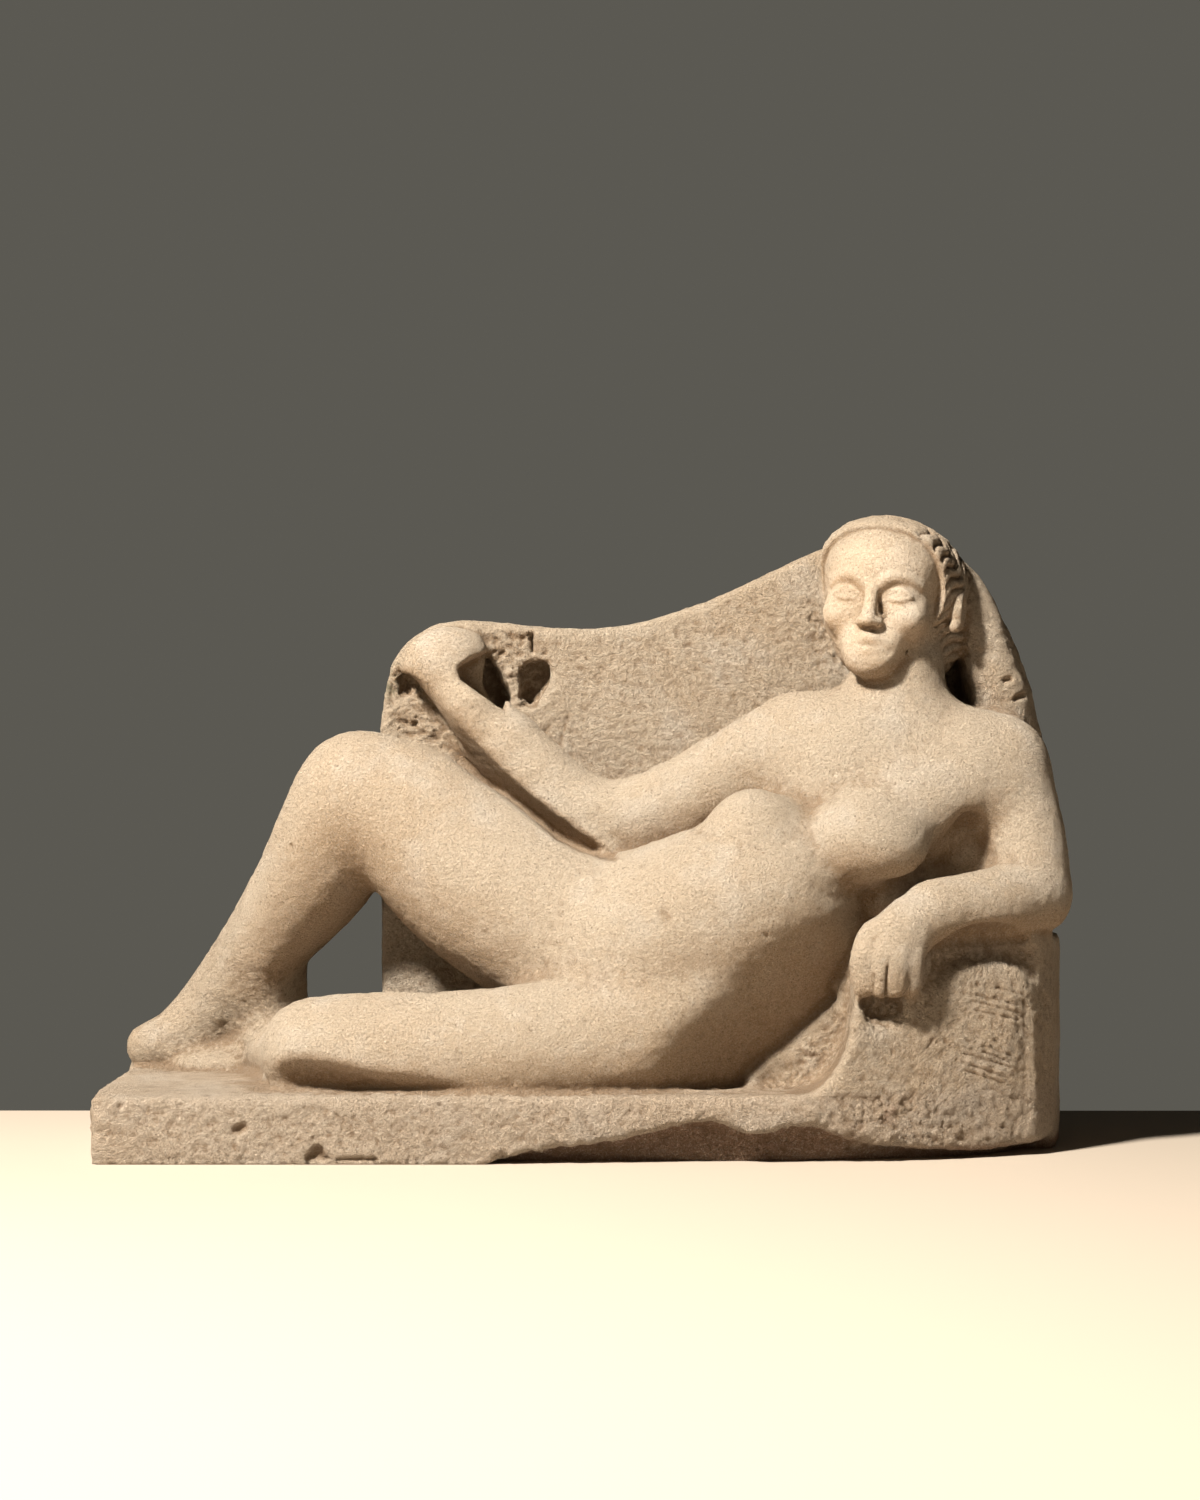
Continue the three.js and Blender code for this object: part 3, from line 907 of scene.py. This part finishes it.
for _ in range(9):
    mark = np.array(POINT_MARKS) + (chance.random(2) - 0.5) * (11, 7)
    depth += 0.9 * line_cut(drawing, 1.3, [mark]) * on_block

# Broken and rough-cut ground
broken_slab = patch(drawing, 4, ((-48, 227.5), (-27, 229), (-18.5, 219.5), (-24.5, 197), (-40.5, 197), (-48, 217)))
broken_corner = patch(drawing, 5, ((-93, 212), (-80, 215.5), (-73, 203.5), (-62, 176), (-84, 182), (-93.5, 188.5)))
beside_face = patch(drawing, 5, ((96, 244), (106, 239.5), (113.5, 215), (100, 213.5)))
pocket = patch(drawing, 5, ((118, 64), (114.5, 46), (101, 26), (76.5, 23.5), (94.5, 44)))
under_hand = patch(drawing, 2.5, ((119, 64), (141.5, 63.5), (138.5, 50.5), (127.5, 50.5)))
broken_edge = ramp(y, -84.5, -82) * ramp(22 - z, 0, 4) * ramp(x, -55, -42) * ramp(112 - x, 0, 20) * facing * (y < -50)
broken_edge = np.maximum(broken_edge, 0.6 * ramp(12 - z, 0, 3) * ramp(x, 90, 100) * facing * (y < -20))
base_front = ramp(-y, 60, 78) * ramp(BASE_HEIGHT + 2 - z, 0, 3)
block_face = ramp(x, 96, 112) * ramp(-y, 10, 30) * ramp(94 - z, 0, 4) * (body(points) > 0.7)
slab_face = np.maximum(ramp(y, 27, 29.5), on_rise) * facing
at_back = ramp(normals[:, 1], 0.3, 0.7) * ramp(y, 60, 75)
sharp = np.clip(-hollowness(points, normals, edges, 4) / 0.5, 0, 1)
coarse = facets(points, 7.0)
small = facets(points + 50, 3.2)
crumb = facets(points + 80, 1.9)
rubble = 0.9 * coarse + 0.7 * small + 0.3 * crumb
depth += (broken_slab + broken_corner) * on_slab * (1.4 - rubble)
depth += beside_face * on_slab * (0.5 - 0.6 * rubble)
depth += pocket * on_block * (0.4 - 0.7 * rubble)
depth += under_hand * on_block * (0.1 * np.sin(x * math.tau / 3.1) - 0.5 * small)
depth += broken_edge * (0.2 - 0.35 * coarse - 0.2 * small - 0.15 * crumb)
depth += base_front * (0.3 - 0.28 * small - 0.3 * coarse - 0.25 * crumb)
depth += block_face * (0.15 - 0.14 * small - 0.2 * crumb)
depth += slab_face * (0.15 - 0.16 * small - 0.2 * crumb)
depth += sharp * (0.25 + ramp(swells(points + 90, 6), -0.2, 0.7)) * (0.9 + 0.9 * base_front)
rough = np.clip(np.maximum.reduce([
    broken_slab * on_slab, broken_corner * on_slab, pocket * on_block, broken_edge, 0.75 * base_front,
    0.6 * block_face, 0.35 * slab_face, 0.8 * at_back,
]), 0, 1)
peck = 0.6 * swells(points, 2.1) + 0.5 * swells(points + 20, 4.3)
depth += peck * (0.32 + 0.42 * rough)
depth += pits(points, 5.5, 0.09) * (0.35 + 0.5 * rough)
depth += swells(points + 70, 17) * 0.35

# Her hair is cut in short wavy locks at the side and behind the ear.
local = (points - HEAD_CENTRE) @ turned(HEAD_TURN)
in_hair = (hair(local) < 0.6) * ramp(hairline(local), 0.3, 1.5) * (local[:, 2] > -34) * ramp(ear(1)(local), 0.6, 1.6)
across = 0.8 * local[:, 2] - 0.55 * local[:, 1] + 1.7 * np.sin(local[:, 1] / 3.2 + local[:, 2] / 6)
groove = np.abs(np.sin(across * math.pi / 5.2))
depth += in_hair * (0.25 + ramp(local[:, 0], 6, 22)) * (1 - groove) ** 1.5 * 1.7
depth += in_hair * ramp(local[:, 0], 6, 22) * 0.5 * swells(points, 5)
in_face = np.linalg.norm(points - HEAD_CENTRE, axis=1) < 36
depth *= np.where(in_face & (y < -20) & (in_hair < 0.5), 0.45, 1.0)
chisel_rows = np.sin((x * 0.35 + z) * math.tau / 5.0 + 1.5 * swells(points, 12))
depth += at_back * 0.35 * np.abs(chisel_rows)
depth *= ramp(z, 0.4, 1.6)
points -= depth[:, None] * normals
write_points(woman.data, points)

# The finished skin is thinned out where it is plain, and kept fine in the face, the hands and in front.
TRIANGLES = 198000
keep = woman.vertex_groups.new(name="plain")
plain = 1 - np.clip(0.55 * facing + 0.45 * in_face * (y < 5), 0, 1)
for level in range(0, 11):
    members = np.flatnonzero(np.round(plain * 10) == level)
    keep.add(members.tolist(), level / 10, "REPLACE")
thin = woman.modifiers.new("thin out", "DECIMATE")
thin.vertex_group = keep.name
thin.vertex_group_factor = 1.0
thin.ratio = TRIANGLES / (2 * len(woman.data.polygons))
settle(woman)

# Keeps the skin within the block it was cut from, and its underside flat.
points = read_points(woman.data)
low_corner = np.array(cad_low, np.float32) / MM - offset
high_corner = np.array(cad_high, np.float32) / MM - offset
write_points(woman.data, np.clip(points, low_corner, high_corner))

edges = read_edges(woman.data)
points = read_points(woman.data)
normals = read_normals(woman.data)
narrow = hollowness(points, normals, edges, 3)
wide = hollowness(points, normals, edges, 14)
# Painted shade: a mask that darkens creases and hollows, where shade falls.
painted_crevice_shade = np.clip(narrow / 0.22 * 0.5 + wide / 0.8 * 0.7, 0, 1)
x, y, z = points.T
low_stone = ramp(BASE_HEIGHT + 3 - z, 0, 4)
# The broken recess along the base's lower front edge and the lower edge under the block: partly a real red-brown iron
# stain, partly painted shade in the recess.
recess_stain_and_shade = ramp(y, -82, -76) * ramp(19 - z, 0, 3) * ramp(x, -50, -40) * ramp(120 - x, 0, 12) * (y < -50)
recess_stain_and_shade = np.maximum(recess_stain_and_shade, ramp(7 - z, 0, 3) * ramp(x, 95, 110))
finish = ramp(np.linalg.norm(points - HEAD_CENTRE - (-8, -26, -4), axis=1), 24, 34)
coarser = np.maximum(low_stone * ramp(-y, 20, 40), ramp(x, 96, 112) * ramp(-y, 10, 30) * ramp(90 - z, 0, 6))
coarser = np.maximum.reduce([coarser, ramp(y, 26, 29), ramp(1.8 - np.abs(slab_rise(points)), 0, 1)])
# Painted warm shade: undersides that face down, above the base, and wide hollows are tinted ochre, standing in for
# the warm reflected light in the shade under her body and limbs.
painted_warm_shade = ramp(-normals[:, 2], -0.05, 0.55) * ramp(z, BASE_HEIGHT - 2, BASE_HEIGHT + 4) * ramp(40 - y, 0, 8)
painted_warm_shade = np.clip(0.75 * painted_warm_shade + np.clip(wide / 1.6, 0, 0.5), 0, 1)
for name, values in (
    ("painted_crevice_shade", painted_crevice_shade),
    ("base_tone", low_stone),
    ("broken_stain_and_shade", recess_stain_and_shade),
    ("painted_warm_shade", painted_warm_shade),
    ("coarseness", 0.75 + 0.25 * finish + 0.3 * coarser),
):
    layer = woman.data.attributes.new(name, "FLOAT", "POINT")
    layer.data.foreach_set("value", np.ascontiguousarray(values, np.float32))
for polygon in woman.data.polygons:
    polygon.use_smooth = True

# Limestone
# A warm cream limestone, matt and pecked all over with a fine point.
stone = bpy.data.materials.new("pecked limestone")
stone.use_nodes = True
nodes = stone.node_tree.nodes
links = stone.node_tree.links
surface = nodes["Principled BSDF"]
place = nodes.new("ShaderNodeTexCoord").outputs["Object"]
CREAM = (0.74, 0.62, 0.475, 1)
HONEY = (0.68, 0.525, 0.365, 1)
PALE = (0.83, 0.74, 0.62, 1)
# The ochre of the painted warm shade on undersides and in hollows.
WARM_SHADE_OCHRE = (0.58, 0.36, 0.19, 1)
# A dark brown for the real grain and pinholes, and also for the painted shade in creases.
GRAIN_AND_SHADE_BROWN = (0.26, 0.165, 0.095, 1)
PINK_GREY = (0.56, 0.445, 0.36, 1)


def noise(scale, detail, roughness=0.6):
    node = nodes.new("ShaderNodeTexNoise")
    node.inputs["Scale"].default_value = scale
    node.inputs["Detail"].default_value = detail
    node.inputs["Roughness"].default_value = roughness
    links.new(place, node.inputs["Vector"])
    return node.outputs["Fac"]


def spread(value, low, high, to_low=0.0, to_high=1.0):
    node = nodes.new("ShaderNodeMapRange")
    node.inputs["From Min"].default_value = low
    node.inputs["From Max"].default_value = high
    node.inputs["To Min"].default_value = to_low
    node.inputs["To Max"].default_value = to_high
    links.new(value, node.inputs["Value"])
    return node.outputs["Result"]


def tint(colour, other, share):
    node = nodes.new("ShaderNodeMix")
    node.data_type = "RGBA"
    for socket, value in ((node.inputs["A"], colour), (node.inputs["B"], other)):
        if isinstance(value, tuple):
            socket.default_value = value
        else:
            links.new(value, socket)
    links.new(share, node.inputs["Factor"])
    return node.outputs["Result"]


def carved(name):
    node = nodes.new("ShaderNodeAttribute")
    node.attribute_name = name
    return node.outputs["Fac"]


def product(a, b):
    node = nodes.new("ShaderNodeMath")
    node.operation = "MULTIPLY"
    links.new(a, node.inputs[0])
    if isinstance(b, float):
        node.inputs[1].default_value = b
    else:
        links.new(b, node.inputs[1])
    return node.outputs[0]


def spot(centre, radius):
    node = nodes.new("ShaderNodeVectorMath")
    node.operation = "DISTANCE"
    links.new(place, node.inputs[0])
    node.inputs[1].default_value = centre
    return product(spread(node.outputs["Value"], radius, radius * 0.35), spread(noise(260, 3), 0.4, 0.62))


grain = noise(1150, 3, 0.7)
pitting = nodes.new("ShaderNodeTexVoronoi")
pitting.inputs["Scale"].default_value = 420
links.new(place, pitting.inputs["Vector"])
pinholes = product(
    spread(pitting.outputs["Distance"], 0.26, 0.1),
    spread(noise(150, 2), 0.52, 0.62),
)
colour = tint(CREAM, HONEY, spread(noise(9, 4), 0.38, 0.68, 0.0, 0.85))
colour = tint(colour, PALE, spread(noise(38, 4), 0.5, 0.7, 0.0, 0.7))
colour = tint(colour, PINK_GREY, product(carved("base_tone"), 0.28))
# Painted warm shade and reflected light on undersides and in hollows.
colour = tint(colour, WARM_SHADE_OCHRE, product(carved("painted_warm_shade"), 0.7))
# Partly real iron stain, partly painted shade in the broken recess.
colour = tint(colour, (0.36, 0.2, 0.13, 1), product(carved("broken_stain_and_shade"), 0.75))
colour = tint(colour, PALE, spread(grain, 0.52, 0.68, 0.0, 0.7))
colour = tint(colour, GRAIN_AND_SHADE_BROWN, spread(grain, 0.46, 0.3, 0.0, 0.5))
# Painted shade: creases and hollows are darkened here.
colour = tint(colour, GRAIN_AND_SHADE_BROWN, product(carved("painted_crevice_shade"), 0.5))
colour = tint(colour, GRAIN_AND_SHADE_BROWN, product(pinholes, 0.6))
colour = tint(colour, (0.42, 0.13, 0.06, 1), product(spot((0.132, -0.083, 0.02), 0.009), 0.8))
colour = tint(colour, (0.16, 0.17, 0.10, 1), product(spot((-0.092, 0.03, 0.208), 0.011), 0.7))
links.new(colour, surface.inputs["Base Color"])
surface.inputs["Roughness"].default_value = 0.92
surface.inputs["Specular IOR Level"].default_value = 0.25
fine_bump = nodes.new("ShaderNodeBump")
fine_bump.inputs["Distance"].default_value = 0.0018
links.new(carved("coarseness"), fine_bump.inputs["Strength"])
links.new(grain, fine_bump.inputs["Height"])
peck_bump = nodes.new("ShaderNodeBump")
peck_bump.inputs["Distance"].default_value = 0.0062
links.new(carved("coarseness"), peck_bump.inputs["Strength"])
links.new(noise(560, 6, 0.78), peck_bump.inputs["Height"])
links.new(fine_bump.outputs["Normal"], peck_bump.inputs["Normal"])
links.new(peck_bump.outputs["Normal"], surface.inputs["Normal"])
woman.data.materials.clear()
woman.data.materials.append(stone)
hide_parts("reclining_woman")
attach(woman, "root")

# Floor, lights and camera
# A plain pale floor that ends a little behind the block, a key light from the upper left and a weak fill,
# with the camera level and straight on.
floor = bpy.data.objects.new("floor", bpy.data.meshes.new("floor"))
bpy.context.scene.collection.objects.link(floor)
board = bmesh.new()
bmesh.ops.create_grid(board, x_segments=1, y_segments=1, size=0.5)
bmesh.ops.scale(board, vec=(2.4, 1.2, 1), verts=board.verts)
bmesh.ops.translate(board, vec=(0, -0.46, 0), verts=board.verts)
board.to_mesh(floor.data)
board.free()
pale = bpy.data.materials.new("pale floor")
pale.use_nodes = True
pale.node_tree.nodes["Principled BSDF"].inputs["Base Color"].default_value = (0.46, 0.4, 0.33, 1)
pale.node_tree.nodes["Principled BSDF"].inputs["Roughness"].default_value = 0.8
floor.data.materials.append(pale)


def area_light(name, azimuth, elevation, away, size, watts, colour):
    light = bpy.data.lights.new(name, "AREA")
    light.size = size
    light.energy = watts
    light.color = colour
    lamp = bpy.data.objects.new(name, light)
    turn = Euler((math.radians(90 - elevation), 0, math.radians(azimuth)))
    lamp.rotation_euler = turn
    lamp.location = turn.to_matrix() @ Vector((0, 0, away)) + Vector((0, 0, 0.13))
    bpy.context.scene.collection.objects.link(lamp)


area_light("key", -38, 45, 1.9, 0.2, 118, (1.0, 0.915, 0.81))
area_light("fill", 20, 9, 1.8, 1.0, 1.1, (1.0, 0.72, 0.47))
bpy.context.scene.view_settings.view_transform = "Standard"
world = bpy.data.worlds.new("studio")
world.use_nodes = True
sky = world.node_tree.nodes["Background"]
sky.inputs["Color"].default_value = (0.105, 0.1, 0.085, 1)
ray = world.node_tree.nodes.new("ShaderNodeLightPath")
dimmed = world.node_tree.nodes.new("ShaderNodeMapRange")
dimmed.inputs["To Min"].default_value = 0.2
world.node_tree.links.new(ray.outputs["Is Camera Ray"], dimmed.inputs["Value"])
world.node_tree.links.new(dimmed.outputs["Result"], sky.inputs["Strength"])
bpy.context.scene.world = world

camera = bpy.data.objects.new("camera", bpy.data.cameras.new("camera"))
camera.data.lens = 84
camera.data.sensor_width = 36
camera.location = (0.0055, -1.575, 0.1767)
camera.rotation_euler = (math.pi / 2, 0, 0)
bpy.context.scene.collection.objects.link(camera)
bpy.context.scene.camera = camera
